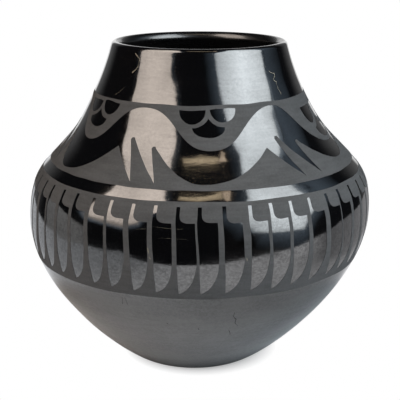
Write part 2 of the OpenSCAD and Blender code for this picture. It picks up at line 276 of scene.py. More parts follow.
class Wall:
    """The jar's wall. A place is an angle in degrees from the front, positive to the right, and an
    arc length from the edge of the foot up the outside."""

    # Spacing of the wall's tables of points, normals and thicknesses
    TABLE_STEP = 0.25 * MM
    # How far the wall's centre strays to the right at some heights, as hand building leaves it: height
    # and distance, in mm
    WANDER = ((0, -4.1), (40, -3.5), (80, -2.2), (120, 0.0), (155, 0.9), (195, -0.6), (240, -0.4))
    # Arc length over which the hand's hollows fade out at the foot and at the lip
    FADE = 12 * MM
    # Points along each of the outline's three curves, and along the two curves below
    CURVE_POINTS, WANDER_POINTS, SWELL_POINTS = 600, 200, 300
    # Faint swell where the shoulder begins: arc length over the belly and height, in mm
    SWELL = (
        (-30, 0.0), (0, 0.05), (20, 0.20), (33, 0.33), (36.5, 0.35), (39.5, 0.29), (45, 0.06), (48, -0.04),
        (51, -0.12), (64, -0.41), (68, -0.455), (74, -0.46), (97, -0.14), (112, 0.0),
    )

    def __init__(self, shape):
        foot = np.array((shape.foot_d / 2, 0.0))
        belly = np.array((shape.belly_d / 2, shape.belly_h))
        turn = np.array((shape.shoulder_d / 2, shape.shoulder_h))
        neck = np.array((shape.neck_d / 2, shape.neck_h))
        lift = self.direction(shape.foot_lift)
        up = np.array((0.0, 1.0))
        lean = self.direction(math.pi / 2 + shape.shoulder_lean)
        neck_lean = self.direction(math.pi / 2 + shape.neck_lean)
        spans = (
            (foot, foot + shape.foot_round * lift, belly - shape.belly_round_under * up, belly),
            (belly, belly + shape.belly_round_over * up, turn - shape.shoulder_round_under * lean, turn),
            (turn, turn + shape.shoulder_round_over * lean, neck - shape.neck_sweep * neck_lean, neck),
        )
        parts = [cubic(*span, self.CURVE_POINTS) for span in spans]
        ends = [self.run(part)[-1] for part in parts]
        outline = np.concatenate([parts[0]] + [part[1:] for part in parts[1:]])
        arc = self.run(outline)
        self.belly, self.turn, self.neck = np.cumsum(ends)
        self.s = np.arange(0.0, self.neck + self.TABLE_STEP, self.TABLE_STEP)
        self.s[-1] = self.neck
        self.point = np.stack([np.interp(self.s, arc, outline[:, k]) for k in (0, 1)], 1)
        tangent = np.gradient(self.point, self.s, axis=0)
        tangent /= np.linalg.norm(tangent, axis=1)[:, None]
        self.normal = np.stack([tangent[:, 1], -tangent[:, 0]], 1)
        self.thick = np.interp(
            self.s,
            (0, self.belly, self.turn, self.neck - shape.lip_fade, self.neck),
            (shape.foot_t, shape.belly_t, shape.shoulder_t, 2 * shape.lip_r, shape.lip_r + shape.lip_soft_r),
        )
        self.lip_r = shape.lip_r
        self.lip_soft_r = shape.lip_soft_r
        self.foot_r = foot[0]
        heights, offsets = np.array(self.WANDER).T * MM
        self.wander_h = np.linspace(heights[0], heights[-1], self.WANDER_POINTS)
        self.wander_x = self.smooth_through(heights, offsets, self.wander_h)
        places, swell = np.array(self.SWELL).T * MM
        places = self.belly + places
        self.swell_s = np.linspace(places[0], places[-1], self.SWELL_POINTS)
        self.swell_h = self.smooth_through(places, swell, self.swell_s)

    @staticmethod
    def direction(a):
        """Direction at an angle above level, in the (radius, height) plane."""
        return np.array((math.cos(a), math.sin(a)))

    @staticmethod
    def run(points):
        """Arc length at each point of a polyline."""
        return np.concatenate([[0.0], np.cumsum(np.linalg.norm(np.diff(points, axis=0), axis=1))])

    @staticmethod
    def smooth_through(x, y, at):
        """A smooth curve through points, with a slope at each that its neighbours set."""
        slope = np.gradient(y, x)
        k = np.clip(np.searchsorted(x, at) - 1, 0, len(x) - 2)
        w = x[k + 1] - x[k]
        t = (at - x[k]) / w
        return (
            (2 * t**3 - 3 * t**2 + 1) * y[k]
            + (t**3 - 2 * t**2 + t) * w * slope[k]
            + (3 * t**2 - 2 * t**3) * y[k + 1]
            + (t**3 - t**2) * w * slope[k + 1]
        )

    def section(self, s, h=0.0, inside=False):
        """(radius, height) at arc length s, moved outwards by h. Past the neck, s runs on over the lip."""
        s, h = np.broadcast_arrays(np.asarray(s, float), np.asarray(h, float))
        h = h[..., None]
        on_wall = np.minimum(s, self.neck)
        point = np.stack([np.interp(on_wall, self.s, self.point[:, k]) for k in (0, 1)], -1)
        normal = np.stack([np.interp(on_wall, self.s, self.normal[:, k]) for k in (0, 1)], -1)
        if inside:
            thick = np.interp(on_wall, self.s, self.thick)
            return point - (thick[..., None] - h) * normal
        turned = np.clip((s - self.neck) / self.lip_r, 0.0, math.pi)[..., None]
        centre = point - self.lip_r * normal
        up = np.stack([-normal[..., 1], normal[..., 0]], -1)
        bend = np.where(turned > math.pi / 2, self.lip_soft_r, self.lip_r) + h
        rise = self.lip_r + h - bend * (1 - np.sin(turned))
        over = centre + bend * np.cos(turned) * normal + rise * up
        return np.where(turned > 0, over, point + h * normal)

    def hollows(self, angles, s):
        """Height of the outside over the true outline: the shallow hollows that scraping and burnishing
        by hand leave, which fade out at foot and lip, and the swell at the shoulder."""
        fade = np.clip(s / self.FADE, 0, 1) * np.clip((self.neck + self.FADE / 4 - s) / self.FADE, 0, 1)
        waves = ripples(angles, s, "broad hollows") + ripples(angles, s, "fine hollows")
        return waves * fade * fade * (3 - 2 * fade) + np.interp(s, self.swell_s, self.swell_h)

    def turn_round(self, angles, section):
        """Points of the jar for places in the (radius, height) plane."""
        a, r, z = np.broadcast_arrays(np.radians(angles), section[..., 0], section[..., 1])
        x = np.interp(z, self.wander_h, self.wander_x)
        return np.stack([x + r * np.sin(a), -r * np.cos(a), z], -1)

    def outside(self, angles, s, h=0.0):
        """Points on the outside, raised by h."""
        angles, s = np.broadcast_arrays(np.asarray(angles, float), np.asarray(s, float))
        return self.turn_round(angles, self.section(s, h + self.hollows(angles, s)))

    def degrees(self, x, s):
        """Degrees round the jar of a length at arc length s."""
        return math.degrees(x / self.section(s)[0])


def new_piece(name, points, faces, stands_for):
    """A smooth mesh object that rides on the jar's body."""
    mesh = bpy.data.meshes.new(name)
    mesh.from_pydata(points.tolist(), [], faces)
    mesh.validate()
    mesh.shade_smooth()
    piece = bpy.data.objects.new(name, mesh)
    bpy.context.scene.collection.objects.link(piece)
    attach(piece, BODY)
    if stands_for:
        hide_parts(*stands_for)
    return piece


def give_material(piece, material):
    """Puts one material on a piece."""
    piece.data.materials.clear()
    piece.data.materials.append(material)


def lathed(rows, closed):
    """Points and faces of a grid of rows that runs round the jar. A closed grid joins its last row to
    its first, and an open one ends in a point at each end."""
    n_rows, n_cols = rows.shape[:2]
    points = rows.reshape(-1, 3)
    faces = []
    for i in range(n_rows if closed else n_rows - 1):
        a, b = i * n_cols, (i + 1) % n_rows * n_cols
        faces += [(a + j, a + (j + 1) % n_cols, b + (j + 1) % n_cols, b + j) for j in range(n_cols)]
    if not closed:
        first, last = len(points), len(points) + 1
        points = np.concatenate([points, rows[:1].mean(1), rows[-1:].mean(1)])
        end = (n_rows - 1) * n_cols
        faces += [(first, (j + 1) % n_cols, j) for j in range(n_cols)]
        faces += [(last, end + j, end + (j + 1) % n_cols) for j in range(n_cols)]
    return points, faces


def stepped(a, b, step):
    """Values from a to b, about one step apart."""
    return np.linspace(a, b, max(2, int(abs(b - a) / step) + 2))


def round_angles(count):
    """Angles of the columns of a lathed grid."""
    return np.arange(count) * 360.0 / count


def inside_loops(points, loops):
    """Which points lie inside an odd number of the closed loops."""
    inside = np.zeros(len(points), bool)
    for loop in loops:
        low, high = loop.min(0), loop.max(0)
        near = np.nonzero(np.all((points >= low) & (points <= high), 1))[0]
        x, y = points[near, 0][:, None], points[near, 1][:, None]
        x0, y0 = loop[:, 0][None], loop[:, 1][None]
        x1, y1 = np.roll(loop[:, 0], -1)[None], np.roll(loop[:, 1], -1)[None]
        spans = (y0 > y) != (y1 > y)
        with np.errstate(divide="ignore", invalid="ignore"):
            crosses = spans & (x < (x1 - x0) * (y - y0) / (y1 - y0) + x0)
        inside[near] ^= crosses.sum(1) % 2 == 1
    return inside


def dense(loop, step):
    """A closed loop of (angle, arc length) with points about one step apart on its longer sides."""
    out = []
    for p, q in zip(loop, np.roll(loop, -1, axis=0)):
        n = max(1, int(math.hypot((q[0] - p[0]) * MEAN_DEGREE, q[1] - p[1]) / step))
        out += [p + (q - p) * k / n for k in range(n)]
    return np.array(out)


def only_used(places, tris):
    """The places that the triangles use, and the triangles with the places' new numbers."""
    used = np.unique(tris)
    return places[used], np.searchsorted(used, tris)


def painted_layer(name, shape, finish, wall, loops, low, high, seam, node):
    """Paints a thin closed layer over the places inside the loops, whose first one runs from seam to
    seam. It reaches a little way into the slip under it."""
    flat = [np.stack([loop[:, 0] * MEAN_DEGREE, loop[:, 1]], 1) for loop in loops]
    edge_points = np.concatenate(flat)
    x = np.arange(seam * MEAN_DEGREE, (seam + 360) * MEAN_DEGREE, PAINT_CELL)
    y = np.arange(low, high, PAINT_CELL)
    grid = np.stack(np.meshgrid(x + PAINT_CELL / 2, y + PAINT_CELL / 2), -1).reshape(-1, 2)
    grid = grid[inside_loops(grid, flat)]
    gap = np.full(len(grid), np.inf)
    # In parts, which spares memory
    for part in np.array_split(edge_points, 60):
        gap = np.minimum(gap, np.linalg.norm(grid[:, None] - part[None], axis=2).min(1))
    grid = grid[gap > 0.8 * EDGE_STEP]
    edges, start = [], 0
    for loop in flat:
        edges += [(start + k, start + (k + 1) % len(loop)) for k in range(len(loop))]
        start += len(loop)
    verts = [Vector(p) for p in np.concatenate([edge_points, grid])]
    places, _, tris, *_ = delaunay_2d_cdt(verts, edges, [], 0, 1e-7)
    places = np.array([tuple(p) for p in places])
    tris = np.array(tris)
    places, tris = only_used(places, tris[inside_loops(places[tris].mean(1), flat)])
    # The layer's two ends meet at the seam
    left, right = (np.nonzero(np.abs(places[:, 0] - a * MEAN_DEGREE) < 1e-6)[0] for a in (seam, seam + 360))
    meet = np.arange(len(places))
    for k in right:
        meet[k] = left[np.argmin(np.abs(places[left, 1] - places[k, 1]))]
    places, tris = only_used(places, meet[tris])
    angles, s = places[:, 0] / MEAN_DEGREE, places[:, 1]
    n = len(places)
    rise, sink = PAINT_RISE * shape.paint_t, PAINT_SINK * shape.slip_t
    points = np.concatenate([wall.outside(angles, s, rise), wall.outside(angles, s, -sink)])
    sides = np.concatenate([tris[:, [0, 1]], tris[:, [1, 2]], tris[:, [2, 0]]])
    known = {tuple(e) for e in sides.tolist()}
    rim = [(a, b) for a, b in known if (b, a) not in known]
    faces = tris.tolist() + (tris[:, ::-1] + n).tolist() + [(b, a, a + n, b + n) for a, b in rim]
    piece = new_piece(name, points, faces, (node,))
    piece.data.set_sharp_from_angle(angle=math.radians(45))
    give_material(piece, matte_paint(finish))


def brushed(loop, size):
    """A loop as a brush draws it, straying a little from true."""
    sideways = ripples_of_size(loop[:, 0], loop[:, 1], "brush sideways", size)
    upright = ripples_of_size(loop[:, 0], loop[:, 1], "brush upright", size)
    return loop + np.stack([sideways / MEAN_DEGREE, upright], 1)


def belly_angles(shape, x):
    """Degrees round the jar of a length at the belly."""
    return np.degrees(np.asarray(x) / (shape.belly_d / 2))


def feather_loop(shape, paint, wall, start, rng):
    """Outline of one feather and its quill, which starts at an angle. Drawn by hand, each one differs by
    a few tenths of a millimetre."""
    top = paint.feather_top + rng.normal(0, 0.25 * MM)
    tip = np.array((paint.feather_tip_in + rng.normal(0, 0.3 * MM),
                    paint.tip_margin - paint.band_under + rng.normal(0, 0.3 * MM)))
    curve = paint.feather_curve
    low = tip[1] + curve
    lean_in = tip[0] * (top - low) / (top - tip[1])
    pitch = math.pi * shape.belly_d / paint.feather_count
    w = pitch + lean_in - paint.feather_gap + rng.normal(0, 0.15 * MM)
    low_right = np.array((w, low))
    quill, step = paint.quill_w + rng.normal(0, 0.1 * MM), paint.step_r
    quill_top = paint.band_over - paint.quill_margin + rng.normal(0, 0.2 * MM)
    outline = np.concatenate([
        cubic(tip, tip + (0.33 * curve, 0.13 * curve), low_right - (0, 0.5 * curve), low_right, 14),
        [(w - paint.feather_lean, top)],
        cubic((quill + step, top), (quill + step / 3, top + step / 12),
              (quill, top + step / 3), (quill, top + step), 8),
        [(quill, quill_top), (0, quill_top), (0, top)],
    ])
    loop = np.stack([start + belly_angles(shape, outline[:, 0]), wall.belly + outline[:, 1]], 1)
    return brushed(dense(loop, EDGE_STEP), paint.wobble)


def edge_row(from_a, to_a, s):
    """Places along a level edge."""
    a = stepped(from_a, to_a, EDGE_STEP / MEAN_DEGREE)
    return np.stack([a, np.full(len(a), s)], 1)


def band_loop(seam, low_s, high_s):
    """A loop that holds a whole band, from seam to seam."""
    side = stepped(low_s, high_s, EDGE_STEP)[1:-1]
    return np.concatenate([
        edge_row(seam, seam + 360, low_s),
        np.stack([np.full(len(side), seam + 360.0), side], 1),
        edge_row(seam + 360, seam, high_s),
        np.stack([np.full(len(side), float(seam)), side[::-1]], 1),
    ])


def wavy_band(loop):
    """A band's loop with a slow waver up and down, the same at both seams."""
    waver = ripples_of_size(loop[:, 0], loop[:, 1], "band waver", BAND_WAVER)
    return loop + np.stack([0 * waver, waver], 1)


class JarOperator(bpy.types.Operator):
    """Shared start of the operators that build the jar"""

    bl_options = {"REGISTER", "UNDO"}

    def execute(self, context):
        scene = context.scene
        self.build(scene.jar_shape, scene.jar_paint, scene.jar_finish, scene.jar_stage)
        return {"FINISHED"}


class BuildSlip(JarOperator):
    """Builds the burnished slip over the outside, the lip and the inside of the neck"""

    bl_idname = "jar.build_slip"
    bl_label = "Burnished Slip"

    # Points round the jar, and the spacing of its rows of points
    COLUMNS = 360
    OUTSIDE_STEP, LIP_STEP, INSIDE_STEP = 1.3 * MM, 0.5 * MM, 1.5 * MM
    # The hidden underside has one row for each of these of the outside
    UNDERSIDE = 3

    def build(self, shape, paint, finish, stage):
        wall = Wall(shape)
        a = round_angles(self.COLUMNS)[None]
        over_lip = wall.neck + math.pi * shape.lip_r
        out_s = np.concatenate([
            stepped(0, wall.neck, self.OUTSIDE_STEP),
            stepped(wall.neck, over_lip, self.LIP_STEP)[1:],
        ])
        lip_end = wall.neck + shape.lip_r - shape.lip_soft_r
        in_s = stepped(lip_end, wall.neck - shape.slip_inside, self.INSIDE_STEP)[1:]
        rows = [
            wall.outside(a, out_s[:, None]),
            wall.turn_round(a, wall.section(in_s[:, None], inside=True)),
            wall.turn_round(a, wall.section(in_s[::-1, None], shape.slip_t, inside=True)),
            wall.outside(a, out_s[::-self.UNDERSIDE, None], -shape.slip_t),
        ]
        points, faces = lathed(np.concatenate(rows), closed=True)
        nodes = ("slip_outside", "slip_inside_neck")
        piece = new_piece("burnished_slip", points, faces, nodes)
        give_material(piece, burnished_slip(finish))


class BuildClay(JarOperator):
    """Builds the moulded base, the coils and the rim coil"""

    bl_idname = "jar.build_clay"
    bl_label = "Base and Coils"

    # Points round the jar, and the spacing of the rows of points on the inside
    COLUMNS = 192
    STEP = 2 * MM
    # How far a coil's middle swells into the jar between its two joints
    SWELL = 0.7 * MM
    # How far the clay lies back from the inside of the neck, where the slip covers it
    UNDER_SLIP = 0.4 * MM
    # Rings of points on the foot and on the floor inside: the first and the last one's share of the way
    # out from the middle, and how many
    FOOT_RINGS = (0.08, 1.0, 14)
    FLOOR_RINGS = (0.93, 0.06, 14)

    def inner(self, wall, a, s, low, high, under_slip):
        """Points on the inside of the wall from one joint to the next, with the coil's swell."""
        share = np.clip((s - low) / (high - low), 0, 1)
        marks = ripples(a, s[:, None], "scraping")
        depth = -self.SWELL * np.sin(math.pi * share)[:, None] ** 0.6 + marks
        depth = np.where(s[:, None] >= under_slip, self.UNDER_SLIP, depth * np.ones_like(a))
        s, a = np.broadcast_arrays(s[:, None], a)
        return wall.turn_round(a, wall.section(s, depth, inside=True))

    def form(self, name, rows, node, clay, closed=True):
        """Makes one piece of clay from the rows of points round it."""
        points, faces = lathed(np.concatenate(rows), closed)
        give_material(new_piece(name, points, faces, (node,)), clay)

    def build(self, shape, paint, finish, stage):
        wall = Wall(shape)
        a = round_angles(self.COLUMNS)[None]
        coils = sorted((n for n in frame["nodes"] if n.startswith("coil_")), key=lambda n: int(n[5:]))
        rim = wall.neck - shape.rim_coil_h
        joints = np.linspace(shape.base_reach, rim, len(coils) + 1)
        under_slip = wall.neck - shape.slip_inside
        # The clay's outside lies a little under the slip's own underside
        under = -1.5 * shape.slip_t
        clay = scraped_clay(finish)
        for name, low, high in zip(coils, joints[:-1], joints[1:]):
            top, bottom = high - shape.lap, low - shape.lap
            rows = [
                wall.outside(a, stepped(low, high, 2 * self.STEP)[:, None], under),
                self.inner(wall, a, stepped(top, bottom, self.STEP), bottom, top, under_slip),
            ]
            self.form(name + "_clay", rows, name, clay)
        over_lip = wall.neck + math.pi * shape.lip_r
        bottom = rim - shape.lap
        rows = [
            wall.outside(a, stepped(rim, wall.neck, 2 * self.STEP)[:, None], under),
            wall.outside(a, stepped(wall.neck, over_lip, self.STEP)[1:, None], under),
            self.inner(wall, a, stepped(wall.neck, bottom, self.STEP)[1:], bottom, wall.neck, under_slip),
        ]
        self.form("rim_coil_clay", rows, "rim_coil", clay)
        self.build_base(shape, wall, a, under, clay)

    def build_base(self, shape, wall, a, under, clay):
        """The base: a flat foot, the wall up to the first joint, and the floor inside."""
        rim = shape.base_reach
        foot = np.linspace(*self.FOOT_RINGS)[:, None] * wall.foot_r
        inner = self.inner(wall, a, stepped(rim - shape.lap, 0, self.STEP), -rim, rim, wall.neck)
        floor = inner[-1]
        centre = floor.mean(0)
        share = np.linspace(*self.FLOOR_RINGS)[:, None, None]
        rows = [
            wall.turn_round(a, np.stack(np.broadcast_arrays(foot, 0 * foot), -1)),
            wall.outside(a, stepped(0, rim, 1.5 * self.STEP)[:, None], under),
            inner,
            centre + share * (floor - centre),
        ]
        self.form("moulded_base", rows, "base_bowl", clay, closed=False)


class BuildFeatherBand(JarOperator):
    """Paints the matte band of feathers round the belly"""

    bl_idname = "jar.build_feather_band"
    bl_label = "Feather Band"

    # Degrees by which feathers are unevenly spaced
    UNEVEN = 0.3

    def build(self, shape, paint, finish, stage):
        wall = Wall(shape)
        rng = np.random.default_rng(5)
        pitch = 360 / paint.feather_count
        half_quill = belly_angles(shape, paint.quill_w / 2)
        half_gap = belly_angles(shape, paint.feather_gap / 2)
        seam = BACK + pitch - half_quill - half_gap - 360
        low, high = wall.belly - paint.band_under, wall.belly + paint.band_over
        loops = [wavy_band(band_loop(seam, low, high))]
        for k in range(paint.feather_count):
            start = seam + half_gap + k * pitch + rng.normal(0, self.UNEVEN)
            loops.append(feather_loop(shape, paint, wall, start, rng))
        painted_layer("feather_band_paint", shape, finish, wall, loops, low, high, seam, "feather_band")


class BuildMountainBand(JarOperator):
    """Paints the mountains and tufts on the shoulder"""

    bl_idname = "jar.build_mountain_band"
    bl_label = "Mountain Band"

    # How far some valleys stray from their places, as the hand drew them, in degrees and metres
    STRAY = {1: (5.5, 5 * MM), -1: (0.4, -0.8 * MM)}
    # Places in a repeat, as shares of the way from one valley to the next
    PEAK, LONG_TUFT, FIRST_CUT, SHORT_TUFT, SECOND_CUT = 0.422, 0.526, 0.607, 0.699, 0.749
    # The layer's inner points lie between these distances from the ground's edge
    REACH = (-2 * MM, 40 * MM)

    def outline(self, shape, paint, wall, k):
        """Upper outline of one repeat, from its valley to the next."""
        ground = wall.turn - paint.ground_under
        shift = paint.sway if k % 2 == 0 else -paint.sway

        def place(share, h, off):
            return np.array((round_jar(paint, k + share) + off, ground + h))

        def tuft(tip):
            w = wall.degrees(paint.tuft_end, tip[1])
            down = (w, paint.tuft_end_h)
            shoulders = (w / 2, 0)
            return [tip - down, tip - shoulders, tip + shoulders, tip + (w, -paint.tuft_end_h)]

        valley, after = (place(n, paint.valley_h, 0) + self.STRAY.get(k + n, (0, 0)) for n in (0, 1))
        peak = place(self.PEAK, paint.peak_h, shift)
        long_tuft = tuft(place(self.LONG_TUFT, paint.long_tuft_h, shift))
        short_tuft = tuft(place(self.SHORT_TUFT, paint.short_tuft_h, shift))
        rise, fall = peak - valley, after - short_tuft[3]
        return np.concatenate([
            cubic(valley, valley + (0.45 * rise[0], 0), peak - (0.32 * rise[0], 0.46 * rise[1]), peak, 16),
            [place(self.FIRST_CUT, paint.cut_h, shift)],
            long_tuft,
            [place(self.SECOND_CUT, paint.cut_h, shift)],
            short_tuft[:3],
            cubic(short_tuft[3], short_tuft[3] + (0.31 * fall[0], 0.47 * fall[1]),
                  after - (0.42 * fall[0], 0), after, 16)[:-1],
        ])

    def build(self, shape, paint, finish, stage):
        wall = Wall(shape)
        ground = wall.turn - paint.ground_under
        first = paint.repeats // 2
        seam = round_jar(paint, -first)
        top = np.concatenate([self.outline(shape, paint, wall, k - first) for k in range(paint.repeats)])
        end = np.array([(seam + 360, ground + paint.valley_h)])
        loop = np.concatenate([edge_row(seam, seam + 360, ground), np.concatenate([top, end])[::-1]])
        loop = dense(loop, EDGE_STEP)
        loop = np.concatenate([loop[:1], brushed(loop, paint.wobble)[1:]])
        loop = pinned(loop, seam, ground, ground + paint.valley_h)
        low, high = (ground + reach for reach in self.REACH)
        painted_layer("mountain_band_paint", shape, finish, wall, [loop], low, high, seam, "mountain_band")


def round_jar(paint, place):
    """Degrees from the front of a place in the row of repeats."""
    a = paint.first_valley + 360 / paint.repeats * place
    return a + paint.spread * math.sin(math.radians(a))


def pinned(loop, seam, low, high):
    """A loop whose two ends at the seam hold the same arc lengths, so that they meet."""
    out = loop.copy()
    for end in (seam, seam + 360):
        near = np.abs(out[:, 0] - end) < 1.1 * EDGE_STEP / MEAN_DEGREE
        side = near & (out[:, 1] > low + 0.6 * MM) & (out[:, 1] < high - 0.6 * MM)
        out = out[~side]
        for s in (low, high):
            k = np.argmin(np.hypot((out[:, 0] - end) * MEAN_DEGREE, out[:, 1] - s))
            out[k] = (end, s)
    return out


class BuildCloudBand(JarOperator):
    """Paints the line and the clouds that hang from it"""

    bl_idname = "jar.build_cloud_band"
    bl_label = "Cloud Band"

    # Place of a cloud's middle in a repeat, as a share of the way from one valley to the next
    CLOUD = 0.05
    # How far some clouds stray from their places, as the hand drew them, in degrees
    STRAY = {1: 5.0}
    # Clouds that hang lower: how far they start under the line and how much deeper they are, for the
    # edge and for the windows, and the degrees their left side is fuller
    LOWER = {1: ((2.7 * MM, 1.12), (5.6 * MM, 1.34), 7.0)}
    PLAIN = ((0.0, 1.0), (0.0, 1.0), 0.0)
    # The layer's inner points lie between these distances from the line's lower edge
    REACH = (-36 * MM, 4 * MM)

    def build(self, shape, paint, finish, stage):
        wall = Wall(shape)
        line = wall.turn + paint.line_over
        first = paint.repeats // 2
        centres = [self.middle(paint, k - first) + self.STRAY.get(k - first, 0) for k in range(paint.repeats)]
        seam = (centres[0] + centres[-1] - 360) / 2
        lower = []
        for k in range(paint.repeats):
            before = centres[k - 1] if k else centres[-1] - 360
            after = centres[k + 1] if k < paint.repeats - 1 else centres[0] + 360
            arches = (before + centres[k]) / 2, (centres[k] + after) / 2
            (drop, deeper), _, fuller = self.LOWER.get(k - first, self.PLAIN)
            low = line - drop - deeper * paint.cloud_h
            lower.append(self.cloud_edge(line, low, fuller, arches[0], centres[k], arches[1]))
        bottom = np.concatenate(lower)
        side = np.array([(seam + 360, line)])
        loop = np.concatenate([bottom, side, edge_row(seam + 360, seam, line + paint.line_w)])
        loop = dense(loop, EDGE_STEP)
        loop = pinned(wavy_band(loop), seam, line, line + paint.line_w)
        loops = [loop]
        for k, centre in enumerate(centres):
            _, (drop, deeper), _ = self.LOWER.get(k - first, self.PLAIN)
            for window in self.windows(paint, wall, line, centre):
                window[:, 1] = line - drop + deeper * (window[:, 1] - line)
                loops.append(wavy_band(brushed(dense(window, EDGE_STEP), paint.wobble)))
        low, high = (line + reach for reach in self.REACH)
        painted_layer("cloud_band_paint", shape, finish, wall, loops, low, high, seam, "cloud_band")

    def middle(self, paint, k):
        """Degrees from the front of the middle of cloud k."""
        a = paint.first_valley + 360 / paint.repeats * (k + self.CLOUD)
        turn = math.radians(a)
        return a + paint.cloud_spread * math.sin(turn) + paint.cloud_crowd * (1 - math.cos(turn))

    def cloud_edge(self, line, low, fuller, left, centre, right):
        """Lower edge of one cloud, from the top of the arch on its left to the one on its right."""
        foot = (centre, low)
        lw, rw = centre - left, right - centre
        leave, arrive = (left + 0.55 * lw - fuller, line), (centre - 0.42 * lw - fuller, low)
        return np.concatenate([
            cubic((left, line), leave, arrive, foot, 22),
            cubic(foot, (centre + 0.42 * rw, low), (right - 0.55 * rw, line), (right, line), 22)[1:-1],
        ])

    def windows(self, paint, wall, line, centre):
        """The three windows of a cloud: two round ones under the line, and one under the strip below."""
        w = wall.degrees(paint.window_w / 2, line)
        strip = wall.degrees(paint.window_strip, line)
        low_w = wall.degrees(paint.low_window_w / 2, line)
        off = w + strip / 2
        a = np.linspace(0, math.pi, 25)
        for side in (-1, 1):
            yield np.stack([centre + side * off - w * np.cos(a), line - paint.window_h * np.sin(a)], 1)
        x = np.linspace(low_w, -low_w, 31)
        reach = paint.window_h + paint.window_strip
        roof = reach * np.sqrt(1 - ((off - np.abs(x)) / (w + strip)) ** 2)
        a = a[1:-1]
        yield np.concatenate([
            np.stack([centre + x, line - roof], 1),
            np.stack([centre - low_w * np.cos(a), line - roof[0] - paint.low_window_h * np.sin(a)], 1),
        ])


class BuildScratches(JarOperator):
    """Lays old scratches, chips in the paint, fine cracks and painted hairline highlights on the jar as very
    thin ribbons
    """

    bl_idname = "jar.build_scratches"
    bl_label = "Scratches"

    # Heights over the slip of the ribbons, and of those for chips, which lie on the paint
    LIFT = 0.02 * MM
    CHIP_LIFT = 0.17 * MM
    # Spacing in mm of a ribbon's points, the degrees they waver by, and the least and most of its width
    SPACING, WAVER, WIDTHS = 0.5, 0.06, (0.6, 1.2)
    # mm in a degree round the jar, and in a mm up it
    PER_DEGREE = np.array((1.6, 1.0))
    # Middle lines, in degrees and mm up the wall, with the widths in mm at their points
    PALE_SCRATCHES_AND_HIGHLIGHTS = (
        ((-42.2, 279.0, 0.5), (-40.8, 277.8, 0.6), (-38.2, 275.8, 0.35), (-38.0, 274.5, 0.4),
         (-38.1, 271.5, 0.3), (-38.2, 270.2, 0.4), (-38.8, 268.8, 0.5), (-41.5, 266.0, 0.95)),
        ((44.0, 266.8, 0.35), (45.2, 265.5, 0.45), (48.2, 264.5, 0.4), (47.8, 262.8, 0.4),
         (45.8, 260.5, 0.35), (47.8, 258.8, 0.45), (47.5, 256.2, 0.3), (48.2, 253.0, 0.3),
         (49.0, 250.0, 0.5)),
        ((-44.6, 255.2, 0.06), (-46.4, 252.8, 0.16), (-48.6, 250.6, 0.12), (-49.8, 249.6, 0.22)),
        # Painted highlights, not scratches: the three lines below are pale hairlines where the polish catches
        # the light on the belly
        ((-14.6, 162.1, 0.03), (-10.0, 161.5, 0.08), (-5.5, 161.2, 0.03)),
        ((-12.0, 155.1, 0.03), (-8.0, 155.2, 0.07), (-3.8, 154.9, 0.03)),
        ((-19.2, 159.5, 0.03), (-16.2, 160.2, 0.08)),
    )
    CHIPS = (
        ((-15.3, 148.2, 0.3), (-15.0, 146.4, 0.6), (-14.8, 144.6, 0.2)),
        ((-14.7, 142.6, 0.15), (-14.3, 141.0, 0.4)),
        ((13.8, 142.2, 0.2), (13.9, 140.0, 0.45)),
    )
    DARK = (
        ((12.8, 98.8, 0.15), (12.8, 94.0, 0.25), (14.0, 91.5, 0.4), (14.0, 86.5, 0.3), (15.5, 83.2, 0.15)),
        ((12.5, 79.5, 0.12), (13.8, 72.2, 0.2)),
        ((-24.2, 109.2, 0.1), (-24.8, 102.5, 0.2)),
        ((-23.2, 110.2, 0.1), (-23.0, 103.0, 0.25)),
        ((1.0, 82.8, 0.3), (1.2, 81.4, 0.4)),
        ((-10.2, 87.9, 0.2), (-9.8, 87.0, 0.4)),
    )

    def build(self, shape, paint, finish, stage):
        wall = Wall(shape)
        # The pale clay colour shows bare clay in scratches and chips, and paints the hairline highlights
        bare_clay_and_highlight = chalky_mark("Scratch", finish.scratch_and_highlight_tone)
        self.lay(wall, "pale_scratches_and_highlights", self.PALE_SCRATCHES_AND_HIGHLIGHTS, self.LIFT, bare_clay_and_highlight)
        self.lay(wall, "paint_chips", self.CHIPS, self.CHIP_LIFT, bare_clay_and_highlight)
        self.lay(wall, "fine_cracks", self.DARK, self.LIFT, chalky_mark("Crack", finish.crack_tone))

    def lay(self, wall, name, lines, lift, material):
        """Lays one piece that holds a ribbon along each of the lines."""
        points, faces = [], []
        for line in lines:
            places, widths = self.wavering(np.array(line))
            along = np.gradient(places * self.PER_DEGREE, axis=0)
            side = np.stack([-along[:, 1], along[:, 0]], 1)
            side /= np.linalg.norm(side, axis=1)[:, None]
            off = side * widths[:, None] / 2 / self.PER_DEGREE
            both = np.stack([places + off, places - off], 1).reshape(-1, 2)
            n = sum(len(p) for p in points)
            points.append(wall.outside(both[:, 0], both[:, 1] * MM, lift))
            faces += [(n + k, n + k + 1, n + k + 3, n + k + 2) for k in range(0, len(both) - 2, 2)]
        piece = new_piece(name, np.concatenate(points), faces, None)
        give_material(piece, material)

    @classmethod
    def wavering(cls, line):
        """A finer middle line that wavers a little, with its widths."""
        run = Wall.run(line[:, :2] * cls.PER_DEGREE)
        at = np.linspace(0, run[-1], max(4, int(run[-1] / cls.SPACING)))
        rng = np.random.default_rng(len(at))
        a, s, w = (np.interp(at, run, line[:, k]) for k in range(3))
        places = np.stack([a + rng.normal(0, cls.WAVER, len(at)), s], 1)
        return places, w * rng.uniform(*cls.WIDTHS, len(at))


